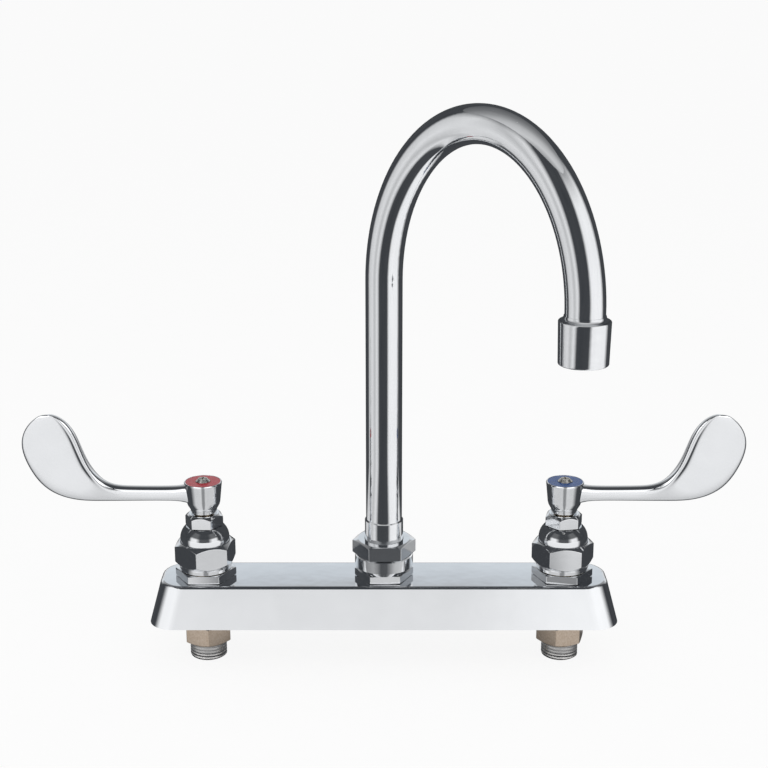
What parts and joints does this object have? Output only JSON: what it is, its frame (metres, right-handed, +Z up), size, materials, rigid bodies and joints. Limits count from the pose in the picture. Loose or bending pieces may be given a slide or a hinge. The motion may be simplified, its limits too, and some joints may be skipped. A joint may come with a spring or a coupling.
{
  "type": "deck faucet with wrist blade handles",
  "caption": "Chrome deck faucet with a swinging gooseneck spout, wrist blade handles and a long tapered cover, fed by threaded inlets below.",
  "frame": {"origin": "on the deck plane under the cover, midway between the two inlets, on the spout's turning axis", "axes": "+X from the hot inlet to the cold inlet, -Y towards the user, +Z up"},
  "size_m": [0.4044, 0.1222, 0.3186],
  "materials": {
    "chrome": "polished chrome plate on brass",
    "cast_brass": "as cast",
    "raw_brass": "machined, dull",
    "steel": "plain steel",
    "index_red": "gloss red",
    "index_blue": "gloss blue",
    "rubber": "matt black",
    "ceramic": "lapped",
    "white_plastic": "moulded white"
  },
  "bodies": {
    "base": {"cold_bonnet": "chrome", "cold_bonnet_nut": "chrome", "cold_cartridge": "cast_brass", "cold_feed_tube": "cast_brass", "cold_fixed_disc": "ceramic", "cold_gland_nut": "chrome", "cold_inlet": "raw_brass", "cold_jam_nut": "chrome", "cold_seat_seal": "rubber", "cold_stem_packing": "rubber", "cold_valve_body": "cast_brass", "deck_cover": "chrome", "hot_bonnet": "chrome", "hot_bonnet_nut": "chrome", "hot_cartridge": "cast_brass", "hot_feed_tube": "cast_brass", "hot_fixed_disc": "ceramic", "hot_gland_nut": "chrome", "hot_inlet": "raw_brass", "hot_jam_nut": "chrome", "hot_seat_seal": "rubber", "hot_stem_packing": "rubber", "hot_valve_body": "cast_brass", "spout_collar": "chrome", "spout_jam_nut": "chrome", "spout_post": "cast_brass", "swivel_nut": "chrome", "thrust_washer": "white_plastic"},
    "hot_handle": {"hot_lever": "chrome", "hot_index_ring": "index_red", "hot_screw": "steel", "hot_spindle": "raw_brass", "hot_moving_disc": "ceramic"},
    "cold_handle": {"cold_lever": "chrome", "cold_index_ring": "index_blue", "cold_screw": "steel", "cold_spindle": "raw_brass", "cold_moving_disc": "ceramic"},
    "spout": {"gooseneck": "chrome", "spout_stem": "chrome", "spout_o_rings": "rubber", "outlet_sleeve": "chrome", "aerator_shell": "chrome", "aerator_washer": "rubber", "aerator_screen": "steel", "aerator_insert": "white_plastic"}
  },
  "joints": [
    {"name": "hot_handle_turn", "type": "hinge", "parent": "base", "child": "hot_handle", "pos_m": [-0.1016, 0, 0.06], "axis": [0, 0, 1], "range_deg": [0, 90]},
    {"name": "cold_handle_turn", "type": "hinge", "parent": "base", "child": "cold_handle", "pos_m": [0.1016, 0, 0.06], "axis": [0, 0, 1], "range_deg": [-90, 0]},
    {"name": "spout_swivel", "type": "hinge", "parent": "base", "child": "spout", "pos_m": [0, 0, 0.04], "axis": [0, 0, 1], "continuous": true}
  ]
}
